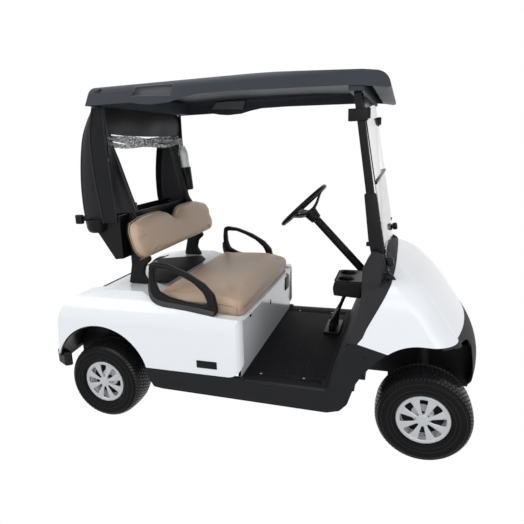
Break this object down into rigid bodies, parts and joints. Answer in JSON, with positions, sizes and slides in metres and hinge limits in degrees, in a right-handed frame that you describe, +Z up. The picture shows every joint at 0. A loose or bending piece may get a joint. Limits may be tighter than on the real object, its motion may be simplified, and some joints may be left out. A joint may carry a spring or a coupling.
{
  "type": "two-seat electric golf cart",
  "caption": "Two-seat electric golf cart with roof, windshield, bag well with cover, bench seat and steering wheel.",
  "frame": {"origin": "on the floor under the middle of the cart's overall length and width", "axes": "+X forward, +Y to the left, +Z up"},
  "size_m": [2.3126, 1.209, 1.7845],
  "materials": {
    "white_body": "gloss",
    "black_plastic": "matte",
    "roof_plastic": "satin",
    "tan_vinyl": "satin",
    "black_fabric": "matte",
    "tyre_rubber": "matte",
    "floor_rubber": "matte",
    "cover_silver": "satin",
    "chassis_steel": "satin",
    "running_gear": "satin",
    "battery_case": "matte",
    "clear_acrylic": "clear"
  },
  "bodies": {
    "chassis": {"chassis": "chassis_steel", "rear_axle": "running_gear", "drive_motor": "running_gear", "battery_pack": "battery_case", "rear_spring_left": "running_gear", "rear_spring_right": "running_gear", "front_suspension_left": "running_gear", "front_suspension_right": "running_gear", "steering_rack": "running_gear", "rear_body": "white_body", "bag_well": "black_plastic", "rear_bumper": "black_plastic", "rocker_left": "black_plastic", "rocker_right": "black_plastic", "floor": "floor_rubber", "seat_panel": "white_body", "front_cowl": "white_body", "front_bumper": "black_plastic", "dash": "black_plastic", "console": "black_plastic", "steering_column": "black_plastic", "pedals": "black_plastic", "backrest": "tan_vinyl", "rear_strut_left": "chassis_steel", "rear_strut_right": "chassis_steel", "armrest_left": "black_plastic", "armrest_right": "black_plastic", "basket": "black_plastic", "roof": "roof_plastic", "front_strut_left": "chassis_steel", "front_strut_right": "chassis_steel", "windshield": "clear_acrylic", "bag_cover": "black_fabric", "sand_bottle": "black_plastic"},
    "steering": {"steering_wheel": "black_plastic"},
    "seat_lid": {"seat_cushion": "tan_vinyl"},
    "steer_left": {"knuckle_left": "running_gear"},
    "steer_right": {"knuckle_right": "running_gear"},
    "front_wheel_left": {"tyre_front_left": "tyre_rubber", "wheel_front_left": "cover_silver"},
    "front_wheel_right": {"tyre_front_right": "tyre_rubber", "wheel_front_right": "cover_silver"},
    "rear_wheel_left": {"tyre_rear_left": "tyre_rubber", "wheel_rear_left": "cover_silver"},
    "rear_wheel_right": {"tyre_rear_right": "tyre_rubber", "wheel_rear_right": "cover_silver"}
  },
  "joints": [
    {"name": "steering", "type": "hinge", "parent": "chassis", "child": "steering", "pos_m": [0.2585, 0.265, 1.038], "axis": [0.6743, 0, -0.7385], "range_deg": [-405, 405]},
    {"name": "seat_lid", "type": "hinge", "parent": "chassis", "child": "seat_lid", "pos_m": [0.0455, 0, 0.636], "axis": [0, 1, 0], "range_deg": [0, 60]},
    {"name": "steer_left", "type": "hinge", "parent": "chassis", "child": "steer_left", "pos_m": [0.8965, 0.335, 0.217], "axis": [0, 0, 1], "range_deg": [-25, 25]},
    {"name": "front_wheel_left", "type": "hinge", "parent": "steer_left", "child": "front_wheel_left", "pos_m": [0.8965, 0.451, 0.217], "axis": [0, 1, 0], "continuous": true},
    {"name": "rear_wheel_left", "type": "hinge", "parent": "chassis", "child": "rear_wheel_left", "pos_m": [-0.7725, 0.489, 0.217], "axis": [0, 1, 0], "continuous": true},
    {"name": "steer_right", "type": "hinge", "parent": "chassis", "child": "steer_right", "pos_m": [0.8965, -0.335, 0.217], "axis": [0, 0, 1], "range_deg": [-25, 25]},
    {"name": "front_wheel_right", "type": "hinge", "parent": "steer_right", "child": "front_wheel_right", "pos_m": [0.8965, -0.451, 0.217], "axis": [0, 1, 0], "continuous": true},
    {"name": "rear_wheel_right", "type": "hinge", "parent": "chassis", "child": "rear_wheel_right", "pos_m": [-0.7725, -0.489, 0.217], "axis": [0, 1, 0], "continuous": true}
  ],
  "couplings": [
    {"joint": "steer_left", "follows": "steering", "ratio": -0.061728},
    {"joint": "steer_right", "follows": "steering", "ratio": -0.061728}
  ]
}
